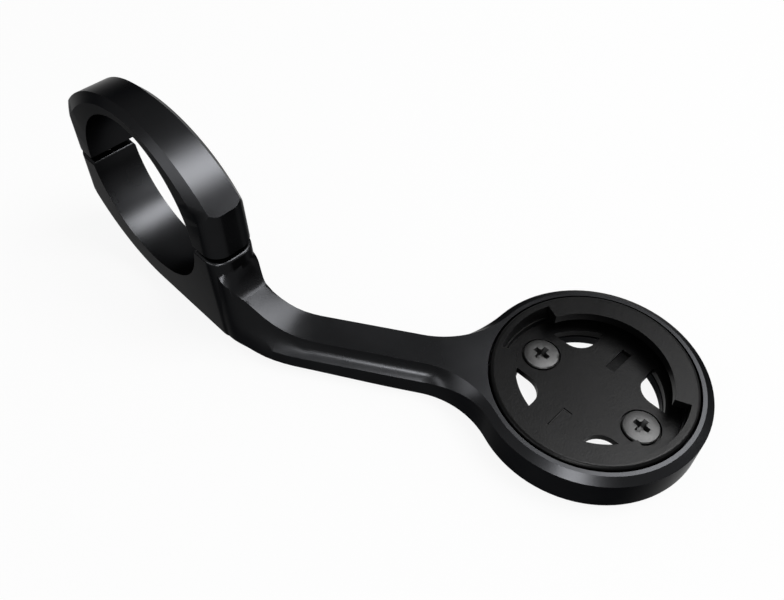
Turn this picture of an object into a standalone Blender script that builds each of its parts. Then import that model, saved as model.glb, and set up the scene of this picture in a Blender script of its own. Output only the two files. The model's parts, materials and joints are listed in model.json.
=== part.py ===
"""Out-front handlebar mount for a bike computer.

A two-piece clamp holds a round handlebar, a fluted arm curves forward and sideways from the
lower half, and a ring at its end holds a quarter-turn seat for the computer.

Frame: the origin is the centre of the bar. X runs along the bar, -Y points forward to the
computer, and Z is the way the computer faces, upward. All sizes are in metres.
"""

import bpy
import bmesh
from math import acos, asin, atan2, cos, hypot, pi, radians, sin, sqrt
from mathutils import Vector

# Clearances
FIT_GAP = 0.0003
CUT_MARGIN = 0.002

# Handlebar and clamp
BAR_RADIUS = 0.0159
CLAMP_HALF_WIDTH = 0.00455
CROWN_NARROWING = 0.00066
BOLT_OFFSET = 0.0030
NOSE_CORNER_RADIUS = 0.0033
NOSE_DRAFT = radians(2.5)
CAP_BOTTOM_Z = -0.0002
PARTING_GAP = 0.00125

# Strap over the bar: a broad outer band with a bevel down each side
CROWN_THICKNESS = 0.00257
BAND_ARC_RADIUS = 0.02907
BAND_CROWN_HALF_WIDTH = 0.00265
BAND_WIDENING = 0.00053
CROWN_SIDE_THICKNESS = 0.0013
SIDE_ARC_RADIUS = 0.0239

# Lower half
BELLY_THICKNESS = 0.0047
BELLY_RADIUS = 0.0245
REAR_BOSS_HEIGHT = 0.00895

# Arm
ARM_BEND_INSET = 0.0027
ARM_BEND_RADIUS = 0.026
ARM_AIM_OFFSET = 0.0009
ARM_ROOT_HALF_WIDTH = 0.0039
ARM_HALF_WIDTH = 0.00455
ARM_ROOT_TOP_HALF_WIDTH = 0.0024
ARM_TOP_HALF_WIDTH = 0.0030
ARM_WIDENING_LENGTH = 0.010
TOP_WIDENING_LENGTH = 0.0195
ARM_RISE = 0.0070
ARM_RISE_LENGTH = 0.0146
ROOT_FILLET_LENGTH = 0.0023
ROOT_FILLET_OVERLAP = 0.0007
ROOT_FLARE = 0.00055
ROOT_FLARE_START = 0.0020
ROOT_FLARE_LENGTH = 0.0045
ROOT_BEVEL_WIDTH = 0.0005
ARM_BEVEL_DEPTH = 0.0035
FLUTE_SAG = 0.0005
FLUTE_START = 0.004
FLUTE_FADE_LENGTH = 0.009
FLUTE_END = 0.0385
FLUTE_END_LENGTH = 0.0035
BOTTOM_CHAMFER = 0.0004

# Ring at the end of the arm
HOLDER_X = 0.0319
HOLDER_Y = -0.0759
HOLDER_TOP_DROP = 0.01245
HOLDER_HEIGHT = 0.0074
HOLDER_DROP_START = 0.012
HOLDER_DROP_LENGTH = 0.022
HOLDER_WALL = 0.0021
HOLDER_CHAMFER_WIDTH = 0.0014
HOLDER_CHAMFER_DEPTH = 0.0009
FLARE_RADIUS = 0.0155
LEDGE_WIDTH = 0.0052
LUG_HALF_WIDTH = 0.0038

# Quarter-turn seat
SEAT_RADIUS = 0.01765
SEAT_SIDE_GAP = 0.00035
SEAT_STAND_UP = 0.0005
SEAT_EDGE_RADIUS = 0.0007
LIP_WIDTH = 0.00429
LIP_THICKNESS = 0.0017
SEAT_WALL = 0.00175
NOTCH_WALL = 0.0015
NOTCH_HALF_ANGLE = radians(23.7)
SEAT_DEPTH = 0.0045
FLOOR_THICKNESS = 0.0013
WINDOW_INNER_X = 0.0053
WINDOW_INNER_Y = 0.0053
WINDOW_RIM = 0.0030
WINDOW_CORNER_RADIUS = 0.0036
RAMP_INSET = 0.0045
RAMP_LENGTH = 0.0053
RAMP_WIDTH = 0.0018
RAMP_DEPTH = 0.0008

# Seat screws, with a cross recess
SCREW_INSET = 0.00535
SCREW_HEAD_RADIUS = 0.0032
SCREW_HEAD_HEIGHT = 0.0007
SCREW_HEAD_DOME = 0.0002
SCREW_SHANK_RADIUS = 0.0015
SCREW_RECESS_DEPTH = 0.0007
CROSS_HALF_LENGTH = 0.0016
CROSS_HALF_WIDTH = 0.0004
CROSS_DEPTH = 0.0006

# Clamp bolts, put in from beneath
BOLT_SHANK_RADIUS = 0.0015
BOLT_HEAD_RADIUS = 0.00275
BOLT_HEAD_HEIGHT = 0.0030
BOLT_REACH = 0.0074
HEX_RADIUS = 0.00144
HEX_DEPTH = 0.0016

# Smoothness
STRAP_STEPS = 72
BELLY_STEPS = 24
HOLDER_STEPS = 96
FILLET_STEPS = 18
ARM_STEP = 0.0016
TOP_STEPS = 10
SCREW_STEPS = 32

ALLOY = ("black_anodised_alloy", (0.012, 0.012, 0.013, 1.0), 0.9, 0.38)
PLASTIC = ("black_plastic", (0.022, 0.022, 0.023, 1.0), 0.0, 0.6)
STEEL = ("grey_steel", (0.20, 0.20, 0.20, 1.0), 0.9, 0.45)
BLACK_STEEL = ("black_steel", (0.02, 0.02, 0.02, 1.0), 0.9, 0.45)

# Levels and places that follow from the sizes above
BOLT_Y = BAR_RADIUS + BOLT_OFFSET
CLAMP_HALF_LENGTH = BOLT_Y + NOSE_CORNER_RADIUS
BAND_ARC_Z = BAR_RADIUS + CROWN_THICKNESS - BAND_ARC_RADIUS
SIDE_ARC_Z = BAR_RADIUS + CROWN_SIDE_THICKNESS - SIDE_ARC_RADIUS
LOWER_TOP_Z = CAP_BOTTOM_Z - PARTING_GAP
UNDERSIDE_Z = -BAR_RADIUS - BELLY_THICKNESS
REAR_BOSS_BOTTOM_Z = LOWER_TOP_Z - REAR_BOSS_HEIGHT
BOLT_SEAT_Z = REAR_BOSS_BOTTOM_Z + BOLT_HEAD_HEIGHT + FIT_GAP
BOLT_TIP_Z = CAP_BOTTOM_Z + BOLT_REACH
ARM_BEND_START_Y = ARM_BEND_INSET - CLAMP_HALF_LENGTH
HOLDER_CENTRE = (HOLDER_X, HOLDER_Y)
HOLDER_TOP_Z = LOWER_TOP_Z - HOLDER_TOP_DROP
HOLDER_UNDERSIDE_Z = HOLDER_TOP_Z - HOLDER_HEIGHT
ROOT_NOSE_LENGTH = CLAMP_HALF_LENGTH - HOLDER_TOP_Z * sin(NOSE_DRAFT)
FLUTE_BOTTOM_Z = HOLDER_TOP_Z - ARM_BEVEL_DEPTH
HOLDER_BORE_RADIUS = SEAT_RADIUS + SEAT_SIDE_GAP
HOLDER_RADIUS = HOLDER_BORE_RADIUS + HOLDER_WALL
LEDGE_INNER_RADIUS = HOLDER_BORE_RADIUS - LEDGE_WIDTH
LIP_INNER_RADIUS = SEAT_RADIUS - LIP_WIDTH
UNDERCUT_RADIUS = SEAT_RADIUS - SEAT_WALL
NOTCH_RADIUS = SEAT_RADIUS - NOTCH_WALL
WINDOW_OUTER_RADIUS = UNDERCUT_RADIUS - WINDOW_RIM
RAMP_OUTER_RADIUS = UNDERCUT_RADIUS - RAMP_INSET
RAMP_INNER_RADIUS = RAMP_OUTER_RADIUS - RAMP_LENGTH
SCREW_PITCH_RADIUS = UNDERCUT_RADIUS - SCREW_INSET
SEAT_TOP_Z = HOLDER_TOP_Z + SEAT_STAND_UP
FLOOR_Z = SEAT_TOP_Z - SEAT_DEPTH
SEAT_BOTTOM_Z = FLOOR_Z - FLOOR_THICKNESS
LEDGE_TOP_Z = SEAT_BOTTOM_Z - FIT_GAP

# Angle through which the arm bends, so that its straight run points at the ring
RING_ACROSS = HOLDER_X - ARM_BEND_RADIUS
RING_ALONG = HOLDER_Y - ARM_BEND_START_Y
AIM_SHARE = (ARM_AIM_OFFSET - ARM_BEND_RADIUS) / hypot(RING_ACROSS, RING_ALONG)
ARM_TURN = atan2(RING_ALONG, RING_ACROSS) + acos(AIM_SHARE)


# General tools

def clear_scene():
    for obj in list(bpy.data.objects):
        bpy.data.objects.remove(obj, do_unlink=True)


def make_material(spec):
    name, colour, metallic, roughness = spec
    material = bpy.data.materials.get(name) or bpy.data.materials.new(name)
    material.use_nodes = True
    shader = material.node_tree.nodes["Principled BSDF"]
    shader.inputs["Base Color"].default_value = colour
    shader.inputs["Metallic"].default_value = metallic
    shader.inputs["Roughness"].default_value = roughness
    return material


def make_object(name, bm, spec=None):
    """Turn a bmesh into an object with its faces pointing out. One without a finish is a cutter."""
    bmesh.ops.recalc_face_normals(bm, faces=bm.faces)
    mesh = bpy.data.meshes.new(name)
    bm.to_mesh(mesh)
    bm.free()
    obj = bpy.data.objects.new(name, mesh)
    bpy.context.scene.collection.objects.link(obj)
    if spec is None:
        obj.hide_render = True
        obj.display_type = "WIRE"
    else:
        mesh.materials.append(make_material(spec))
    return obj


def combine(target, tools, operation):
    """Apply one Boolean after another to target, then remove the tools."""
    for tool in tools:
        modifier = target.modifiers.new(tool.name, "BOOLEAN")
        modifier.object = tool
        modifier.operation = operation
        modifier.solver = "EXACT"
        with bpy.context.temp_override(object=target, active_object=target):
            bpy.ops.object.modifier_apply(modifier=modifier.name)
        bpy.data.objects.remove(tool, do_unlink=True)


def shade(obj, angle=30.0):
    obj.data.shade_smooth()
    obj.data.set_sharp_from_angle(angle=radians(angle))


def skin(bm, rings):
    """Join closed rings of equally many vertices with quads."""
    count = len(rings[0])
    for low, high in zip(rings, rings[1:]):
        for i in range(count):
            j = (i + 1) % count
            bm.faces.new((low[i], low[j], high[j], high[i]))


def loft(loops):
    """Skin closed loops of equally many points, and cap both ends."""
    bm = bmesh.new()
    rings = [[bm.verts.new(point) for point in loop] for loop in loops]
    skin(bm, rings)
    bm.faces.new(rings[0])
    bm.faces.new(rings[-1])
    return bm


def prism(outline, z_low, z_high):
    """Extrude a plan outline between two heights."""
    return loft([[(x, y, z) for x, y in outline] for z in (z_low, z_high)])


def turned(profile, centre, steps):
    """Revolve (radius, height) points about an upright axis, with a flat disc at each end."""
    loops = []
    for radius, z in profile:
        circle = arc(centre, radius, 0, 2 * pi, steps)[:-1]
        loops.append([(x, y, z) for x, y in circle])
    return loft(loops)


def cylinder(radius, centre, z_low, z_high, steps):
    return turned([(radius, z_low), (radius, z_high)], centre, steps)


def arc(centre, radius, start, end, steps):
    """Points on a circle from one angle to another, both included."""
    cx, cy = centre
    angles = [start + (end - start) * i / steps for i in range(steps + 1)]
    return [(cx + radius * cos(a), cy + radius * sin(a)) for a in angles]


def rounded_rectangle(centre, half_x, half_y, radius, steps=8):
    points = []
    for sx, sy, start in ((1, 1, 0), (-1, 1, 90), (-1, -1, 180), (1, -1, 270)):
        corner = (centre[0] + sx * (half_x - radius), centre[1] + sy * (half_y - radius))
        points += arc(corner, radius, radians(start), radians(start + 90), steps)
    return points


def smoothstep(value):
    t = min(1.0, max(0.0, value))
    return t * t * (3 - 2 * t)


def blend(a, b, t):
    return a + (b - a) * t


# Clamp

def nose_block(name, z_low, z_high, spec=None):
    """Block with rounded front and rear noses, a little longer at the bottom than at the top."""
    loops = []
    for z in (z_low, z_high):
        half_length = CLAMP_HALF_LENGTH - z * sin(NOSE_DRAFT)
        plan = rounded_rectangle((0, 0), CLAMP_HALF_WIDTH, half_length, NOSE_CORNER_RADIUS)
        loops.append([(x, y, z) for x, y in plan])
    return make_object(name, loft(loops), spec)


def arc_reach(centre_z, radius, angle):
    """Distance from the bar's centre to an arc centred above or below it, at an angle from +Y."""
    return centre_z * sin(angle) + sqrt(radius ** 2 - (centre_z * cos(angle)) ** 2)


def strap_section(angle):
    """Cross-section of the strap at an angle from +Y: bore, side faces, bevels and outer band."""
    side = arc_reach(SIDE_ARC_Z, SIDE_ARC_RADIUS, angle)
    band = arc_reach(BAND_ARC_Z, BAND_ARC_RADIUS, angle)
    half_width = CLAMP_HALF_WIDTH - CROWN_NARROWING * sin(angle) ** 2
    band_half_width = BAND_CROWN_HALF_WIDTH + BAND_WIDENING * abs(cos(angle))
    corners = [
        (-half_width, BAR_RADIUS), (-half_width, side), (-band_half_width, band),
        (band_half_width, band), (half_width, side), (half_width, BAR_RADIUS),
    ]
    return [(x, reach * cos(angle), reach * sin(angle)) for x, reach in corners]


def stepped_hole(name, centre, low_radius, high_radius, z_low, z_step, z_high):
    """Cutter for a screw: one radius below the step and another above, each with its clearance."""
    low, high = low_radius + FIT_GAP, high_radius + FIT_GAP
    profile = [(low, z_low), (low, z_step), (high, z_step), (high, z_high)]
    return make_object(name, turned(profile, centre, SCREW_STEPS))


def build_clamp_cap():
    spread = radians(12)
    angles = [-spread + (pi + 2 * spread) * i / STRAP_STEPS for i in range(STRAP_STEPS + 1)]
    cap = make_object("clamp_cap", loft([strap_section(a) for a in angles]), ALLOY)
    combine(cap, [nose_block("cap_block", CAP_BOTTOM_Z, BAND_ARC_RADIUS)], "INTERSECT")
    hole_radius = BOLT_SHANK_RADIUS + FIT_GAP
    hole_top = BOLT_TIP_Z + FIT_GAP
    hole_bottom = CAP_BOTTOM_Z - CUT_MARGIN
    holes = []
    for name, y in (("front_thread", -BOLT_Y), ("rear_thread", BOLT_Y)):
        hole = cylinder(hole_radius, (0, y), hole_bottom, hole_top, SCREW_STEPS)
        holes.append(make_object(name, hole))
    combine(cap, holes, "DIFFERENCE")
    shade(cap)
    return cap


def lower_half():
    """Lower clamp half: rounded noses, a step under the rear one, a round belly, a flat foot."""
    belly_z = UNDERSIDE_Z + BELLY_RADIUS
    step_angle = asin((REAR_BOSS_BOTTOM_Z - belly_z) / BELLY_RADIUS)
    belly = arc((0, belly_z), BELLY_RADIUS, step_angle, -pi / 2, BELLY_STEPS)
    far = 2 * CLAMP_HALF_LENGTH
    high = 2 * abs(UNDERSIDE_Z)
    outline = [(far, high), (far, REAR_BOSS_BOTTOM_Z)] + belly
    outline += [(-far, UNDERSIDE_Z), (-far, high)]
    sides = (-2 * CLAMP_HALF_WIDTH, 2 * CLAMP_HALF_WIDTH)
    profile = loft([[(x, y, z) for y, z in outline] for x in sides])
    half = nose_block("arm_body", 2 * UNDERSIDE_Z, LOWER_TOP_Z, ALLOY)
    combine(half, [make_object("lower_profile", profile)], "INTERSECT")
    return half


def bar_cutter():
    length = 2 * CLAMP_HALF_WIDTH
    circle = arc((0, 0), BAR_RADIUS, 0, 2 * pi, 2 * STRAP_STEPS)[:-1]
    return make_object("bar", loft([[(x, y, z) for y, z in circle] for x in (-length, length)]))


# Arm and holder ring

def arm_centre(distance):
    """Point and heading of the arm's centreline, by distance from the start of its bend."""
    turn = min(max(distance / ARM_BEND_RADIUS, 0.0), ARM_TURN)
    straight = min(distance, 0.0) + max(distance - ARM_TURN * ARM_BEND_RADIUS, 0.0)
    heading = Vector((sin(turn), -cos(turn)))
    x = ARM_BEND_RADIUS * (1 - cos(turn)) + straight * heading.x
    y = ARM_BEND_START_Y - ARM_BEND_RADIUS * sin(turn) + straight * heading.y
    return Vector((x, y)), heading


def nose_distance(point):
    """Distance in plan from the clamp's front nose at the arm's level, positive outside it."""
    dx = abs(point[0]) - (CLAMP_HALF_WIDTH - NOSE_CORNER_RADIUS)
    dy = abs(point[1]) - (ROOT_NOSE_LENGTH - NOSE_CORNER_RADIUS)
    outside = hypot(max(dx, 0.0), max(dy, 0.0))
    return outside + min(max(dx, dy), 0.0) - NOSE_CORNER_RADIUS


def arm_top(distance, point):
    """Height of the arm's top face, which climbs to the clamp and ends in a fillet round it."""
    out = max(distance - (ARM_BEND_START_Y + ROOT_NOSE_LENGTH), 0.0)
    climb = ARM_RISE * (1 - min(out / ARM_RISE_LENGTH, 1.0)) ** 2
    out_of_nose = max(nose_distance(point), -ROOT_FILLET_OVERLAP)
    into = max(ROOT_FILLET_LENGTH - out_of_nose, 0.0)
    return HOLDER_TOP_Z + climb + into ** 2 / ROOT_FILLET_LENGTH


def arm_underside(distance):
    """Height of the arm's underside, which sinks a little towards the deeper ring."""
    drop = UNDERSIDE_Z - HOLDER_UNDERSIDE_Z
    return UNDERSIDE_Z - drop * smoothstep((distance - HOLDER_DROP_START) / HOLDER_DROP_LENGTH)


def flute_sag(distance):
    """Depth of the hollow in the arm's bevel, which fades at both ends."""
    fade_in = smoothstep((distance - FLUTE_START) / FLUTE_FADE_LENGTH)
    fade_out = smoothstep((distance - FLUTE_END) / FLUTE_END_LENGTH)
    return FLUTE_SAG * fade_in * (1 - fade_out)


def edge_column(outer, inward, width, levels, sag):
    """Points down one place of the rim: top edge, hollow bevel, wall and bottom chamfer."""
    top_z, bevel_z, underside_z = levels
    column = []
    for t in (0.0, 0.25, 0.5, 0.75, 1.0):
        hollow = sag * 4 * t * (1 - t)
        plan = outer + inward * (width * (1 - t) + hollow)
        column.append((plan.x, plan.y, blend(top_z, bevel_z, t) - hollow * 0.5))
    column.append((outer.x, outer.y, underside_z + BOTTOM_CHAMFER))
    foot = outer + inward * BOTTOM_CHAMFER
    column.append((foot.x, foot.y, underside_z))
    return column


def flare_place(side):
    """Where the arm's side meets the ring through a fillet.

    Gives the distance along the arm at which the fillet starts, and the fillet's centre.
    """
    base, heading = arm_centre(ARM_TURN * ARM_BEND_RADIUS)
    normal = Vector((-heading.y, heading.x))
    to_ring = Vector(HOLDER_CENTRE) - base
    sideways = side * (ARM_HALF_WIDTH + FLARE_RADIUS)
    offset = sideways - to_ring.dot(normal)
    back = sqrt((HOLDER_RADIUS + FLARE_RADIUS) ** 2 - offset ** 2)
    forward = to_ring.dot(heading) - back
    start = ARM_TURN * ARM_BEND_RADIUS + forward
    return start, base + heading * forward + normal * sideways


def flare_columns(side):
    """Rim columns round one fillet, from the arm to the ring."""
    start, centre = flare_place(side)
    point, heading = arm_centre(start)
    normal = Vector((-heading.y, heading.x)) * side
    to_ring = (Vector(HOLDER_CENTRE) - centre).normalized()
    first = atan2(-normal.y, -normal.x)
    last = atan2(to_ring.y, to_ring.x)
    sweep = (last - first + pi) % (2 * pi) - pi
    columns = []
    for i in range(1, FILLET_STEPS):
        t = smoothstep(i / FILLET_STEPS)
        angle = first + sweep * i / FILLET_STEPS
        inward = Vector((cos(angle), sin(angle)))
        width = blend(ARM_HALF_WIDTH - ARM_TOP_HALF_WIDTH, HOLDER_CHAMFER_WIDTH, t)
        bevel_z = blend(FLUTE_BOTTOM_Z, HOLDER_TOP_Z - HOLDER_CHAMFER_DEPTH, t)
        outer = centre + inward * FLARE_RADIUS
        levels = (HOLDER_TOP_Z, bevel_z, HOLDER_UNDERSIDE_Z)
        sag = flute_sag(start + FLARE_RADIUS * abs(sweep) * i / FILLET_STEPS)
        columns.append(edge_column(outer, inward, width, levels, sag))
    return columns


def ring_columns():
    """Rim columns round the holder ring, from one fillet to the other."""
    middle = Vector(HOLDER_CENTRE)
    ends = [flare_place(side)[1] - middle for side in (-1, 1)]
    start, end = (atan2(v.y, v.x) % (2 * pi) for v in ends)
    sweep = (end - start) % (2 * pi)
    steps = round(HOLDER_STEPS * sweep / (2 * pi))
    columns = []
    for i in range(steps + 1):
        angle = start + sweep * i / steps
        outward = Vector((cos(angle), sin(angle)))
        outer = middle + outward * HOLDER_RADIUS
        levels = (HOLDER_TOP_Z, HOLDER_TOP_Z - HOLDER_CHAMFER_DEPTH, HOLDER_UNDERSIDE_Z)
        columns.append(edge_column(outer, -outward, HOLDER_CHAMFER_WIDTH, levels, 0.0))
    return columns


def arm_columns(side, distances):
    """Rim columns down one side of the arm, at the given distances along it."""
    columns = []
    for distance in distances:
        point, heading = arm_centre(distance)
        normal = Vector((-heading.y, heading.x)) * side
        side_t = smoothstep(distance / ARM_WIDENING_LENGTH)
        top_t = smoothstep(distance / TOP_WIDENING_LENGTH)
        root_t = 1 - smoothstep((distance - ROOT_FLARE_START) / ROOT_FLARE_LENGTH)
        half_width = blend(ARM_ROOT_HALF_WIDTH, ARM_HALF_WIDTH, side_t) + ROOT_FLARE * root_t
        top_half_width = blend(ARM_ROOT_TOP_HALF_WIDTH, ARM_TOP_HALF_WIDTH, top_t)
        width = blend(half_width - top_half_width, ROOT_BEVEL_WIDTH, root_t)
        outer = point + normal * half_width
        top_z = arm_top(distance, outer - normal * width)
        levels = (top_z, FLUTE_BOTTOM_Z, arm_underside(distance))
        columns.append(edge_column(outer, -normal, width, levels, flute_sag(distance)))
    return columns


def top_row(bm, distance, near_vert, far_vert):
    """Points across the arm's top face, from its near edge to its far edge."""
    inner = []
    for k in range(1, TOP_STEPS):
        point = near_vert.co.lerp(far_vert.co, k / TOP_STEPS)
        inner.append(bm.verts.new((point.x, point.y, arm_top(distance, point))))
    return [near_vert] + inner + [far_vert]


def arm_and_ring():
    """Arm and solid ring as one skin: rim columns all round, a top face and a flat underside."""
    root = ARM_BEND_START_Y + BOLT_Y
    nose = ROOT_NOSE_LENGTH + ARM_BEND_START_Y
    near_start, far_start = (flare_place(side)[0] for side in (-1, 1))
    shared_end = min(near_start, far_start) - ARM_STEP / 4
    distances = [root] + [nose + NOSE_CORNER_RADIUS * (i / 8 - 1) for i in range(8)]
    distances += [nose + ROOT_FILLET_LENGTH * i / 6 for i in range(7)]
    steps = round((shared_end - distances[-1]) / ARM_STEP)
    first_free = distances[-1]
    distances += [blend(first_free, shared_end, (i + 1) / steps) for i in range(steps)]
    near = arm_columns(-1, distances)
    far = arm_columns(1, distances)
    near += arm_columns(-1, [(shared_end + near_start) / 2, near_start]) + flare_columns(-1)
    far += arm_columns(1, [(shared_end + far_start) / 2, far_start]) + flare_columns(1)
    columns = near + ring_columns() + far[::-1]

    bm = bmesh.new()
    verts = [[bm.verts.new(point) for point in column] for column in columns]
    for a, b in zip(verts, verts[1:]):
        for i in range(len(a) - 1):
            bm.faces.new((a[i], b[i], b[i + 1], a[i + 1]))
    count = len(distances)
    rows = [top_row(bm, distances[i], verts[i][0], verts[-1 - i][0]) for i in range(count)]
    for i in range(count - 1):
        for k in range(TOP_STEPS):
            bm.faces.new((rows[i][k], rows[i][k + 1], rows[i + 1][k + 1], rows[i + 1][k]))
        bm.faces.new((verts[i][-1], verts[i + 1][-1], verts[-2 - i][-1], verts[-1 - i][-1]))
    ring = verts[count - 1:len(verts) - count + 1]
    bm.faces.new([column[0] for column in ring] + rows[-1][-2:0:-1])
    bm.faces.new([column[-1] for column in ring])
    bm.faces.new(verts[0] + verts[-1][::-1] + rows[0][-2:0:-1])
    return make_object("arm_and_ring", bm)


def screw_centres():
    return [("front", (HOLDER_X, HOLDER_Y - SCREW_PITCH_RADIUS)),
            ("rear", (HOLDER_X, HOLDER_Y + SCREW_PITCH_RADIUS))]


def lug_cutter(name, centre):
    """Plan of a screw lug: a round end about the screw, reaching out into the ledge."""
    side = 1 if centre[1] > HOLDER_Y else -1
    outline = arc(centre, LUG_HALF_WIDTH, 0, -side * pi, 16)
    outline += [(centre[0] + s * LUG_HALF_WIDTH, HOLDER_Y + side * HOLDER_RADIUS) for s in (-1, 1)]
    low = HOLDER_UNDERSIDE_Z - 2 * CUT_MARGIN
    return make_object(name, prism(outline, low, HOLDER_TOP_Z))


def holder_cutters():
    """The socket for the seat, the opening inside the ledge, and the screw holes in the lugs."""
    low = HOLDER_UNDERSIDE_Z - CUT_MARGIN
    high = HOLDER_TOP_Z + CUT_MARGIN
    socket = cylinder(HOLDER_BORE_RADIUS, HOLDER_CENTRE, LEDGE_TOP_Z, high, HOLDER_STEPS)
    middle_z = (LEDGE_TOP_Z + high) / 2
    opening = cylinder(LEDGE_INNER_RADIUS, HOLDER_CENTRE, low, middle_z, HOLDER_STEPS)
    window = make_object("ledge_opening", opening)
    lugs = [lug_cutter(name + "_lug", centre) for name, centre in screw_centres()]
    combine(window, lugs, "DIFFERENCE")
    cutters = [make_object("socket", socket), window]
    for name, centre in screw_centres():
        hole = cylinder(SCREW_SHANK_RADIUS + FIT_GAP, centre, low, middle_z, SCREW_STEPS)
        cutters.append(make_object(name + "_screw_hole", hole))
    return cutters


def build_arm_body():
    body = lower_half()
    combine(body, [arm_and_ring()], "UNION")
    cutters = [bar_cutter()] + holder_cutters()
    low = UNDERSIDE_Z - CUT_MARGIN
    for name, y in (("front_bolt_hole", -BOLT_Y), ("rear_bolt_hole", BOLT_Y)):
        cutters.append(stepped_hole(name, (0, y), BOLT_HEAD_RADIUS, BOLT_SHANK_RADIUS,
                                    low, BOLT_SEAT_Z, CUT_MARGIN))
    combine(body, cutters, "DIFFERENCE")
    shade(body)
    return body


# Quarter-turn seat

def sector(name, inner, outer, middle_angle, half_angle, z_low, z_high):
    """Annular wedge about the holder's axis."""
    start, end = middle_angle - half_angle, middle_angle + half_angle
    outline = arc(HOLDER_CENTRE, outer, start, end, 16)
    outline += arc(HOLDER_CENTRE, inner, end, start, 16)
    return make_object(name, prism(outline, z_low, z_high))


def floor_window(name, sign_x, sign_y):
    """Through opening between two spokes of the floor, rounded at its inner corner."""
    cx, cy = HOLDER_CENTRE
    reach = WINDOW_OUTER_RADIUS
    centre = (cx + sign_x * (WINDOW_INNER_X + reach), cy + sign_y * (WINDOW_INNER_Y + reach))
    corner = rounded_rectangle(centre, reach, reach, WINDOW_CORNER_RADIUS)
    low, high = SEAT_BOTTOM_Z - CUT_MARGIN, FLOOR_Z + CUT_MARGIN
    window = make_object(name, prism(corner, low, high))
    disc = cylinder(WINDOW_OUTER_RADIUS, HOLDER_CENTRE, 2 * low, -2 * low, HOLDER_STEPS)
    combine(window, [make_object(name + "_limit", disc)], "INTERSECT")
    return window


def ramp_pocket(name, side):
    """Sloped pocket in the floor that the computer's latch nub runs over."""
    cx, cy = HOLDER_CENTRE
    inner, outer = cx + side * RAMP_INNER_RADIUS, cx + side * RAMP_OUTER_RADIUS
    top = FLOOR_Z + CUT_MARGIN
    shallow = FLOOR_Z - RAMP_DEPTH / 4
    profile = [(inner, top), (inner, shallow), (outer, FLOOR_Z - RAMP_DEPTH), (outer, top)]
    sides = (cy - RAMP_WIDTH / 2, cy + RAMP_WIDTH / 2)
    return make_object(name, loft([[(x, y, z) for x, z in profile] for y in sides]))


def build_mount_insert():
    edge_centre = (SEAT_RADIUS - SEAT_EDGE_RADIUS, SEAT_TOP_Z - SEAT_EDGE_RADIUS)
    rim = arc(edge_centre, SEAT_EDGE_RADIUS, pi / 2, 0, 5)
    profile = rim + [(SEAT_RADIUS, SEAT_BOTTOM_Z)]
    insert = make_object("mount_insert", turned(profile, HOLDER_CENTRE, HOLDER_STEPS), PLASTIC)

    high = SEAT_TOP_Z + CUT_MARGIN
    lip_z = SEAT_TOP_Z - LIP_THICKNESS
    well = [(LIP_INNER_RADIUS, high), (LIP_INNER_RADIUS, lip_z)]
    well += [(UNDERCUT_RADIUS, lip_z), (UNDERCUT_RADIUS, FLOOR_Z)]
    cutters = [make_object("well", turned(well, HOLDER_CENTRE, HOLDER_STEPS))]
    deep = (FLOOR_Z + lip_z) / 2
    inside = LIP_INNER_RADIUS - CUT_MARGIN
    for name, angle in (("front_notch", -pi / 2), ("rear_notch", pi / 2)):
        cutters.append(sector(name, inside, NOTCH_RADIUS, angle, NOTCH_HALF_ANGLE, deep, high))
    for sx in (-1, 1):
        for sy in (-1, 1):
            cutters.append(floor_window("window", sx, sy))
    cutters += [ramp_pocket("ramp", side) for side in (-1, 1)]
    low = SEAT_BOTTOM_Z - CUT_MARGIN
    for name, centre in screw_centres():
        step_z = FLOOR_Z - SCREW_RECESS_DEPTH
        cutters.append(stepped_hole(name + "_hole", centre, SCREW_SHANK_RADIUS,
                                    SCREW_HEAD_RADIUS, low, step_z, deep))
    combine(insert, cutters, "DIFFERENCE")
    shade(insert)
    return insert


# Fasteners

def build_insert_screw(name, centre):
    """Low-domed cross-head screw, threaded through a lug of the ring."""
    seat_z = FLOOR_Z - SCREW_RECESS_DEPTH + FIT_GAP
    edge_z = seat_z + SCREW_HEAD_HEIGHT
    tip_z = HOLDER_UNDERSIDE_Z + FIT_GAP
    shape = [
        (SCREW_HEAD_RADIUS * 0.4, edge_z + SCREW_HEAD_DOME),
        (SCREW_HEAD_RADIUS * 0.7, edge_z + SCREW_HEAD_DOME * 0.7),
        (SCREW_HEAD_RADIUS * 0.93, edge_z), (SCREW_HEAD_RADIUS, edge_z - SCREW_HEAD_DOME),
        (SCREW_HEAD_RADIUS, seat_z), (SCREW_SHANK_RADIUS, seat_z), (SCREW_SHANK_RADIUS, tip_z),
    ]
    screw = make_object(name, turned(shape, centre, SCREW_STEPS), STEEL)
    cx, cy = centre
    cross_low, cross_high = edge_z - CROSS_DEPTH, edge_z + CUT_MARGIN
    arms = []
    corners = ((-1, -1), (1, -1), (1, 1), (-1, 1))
    across = (CROSS_HALF_LENGTH, CROSS_HALF_WIDTH)
    for half_x, half_y in (across, across[::-1]):
        outline = [(cx + sx * half_x, cy + sy * half_y) for sx, sy in corners]
        arms.append(make_object("cross_arm", prism(outline, cross_low, cross_high)))
    combine(screw, arms, "DIFFERENCE")
    shade(screw)
    return screw


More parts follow.
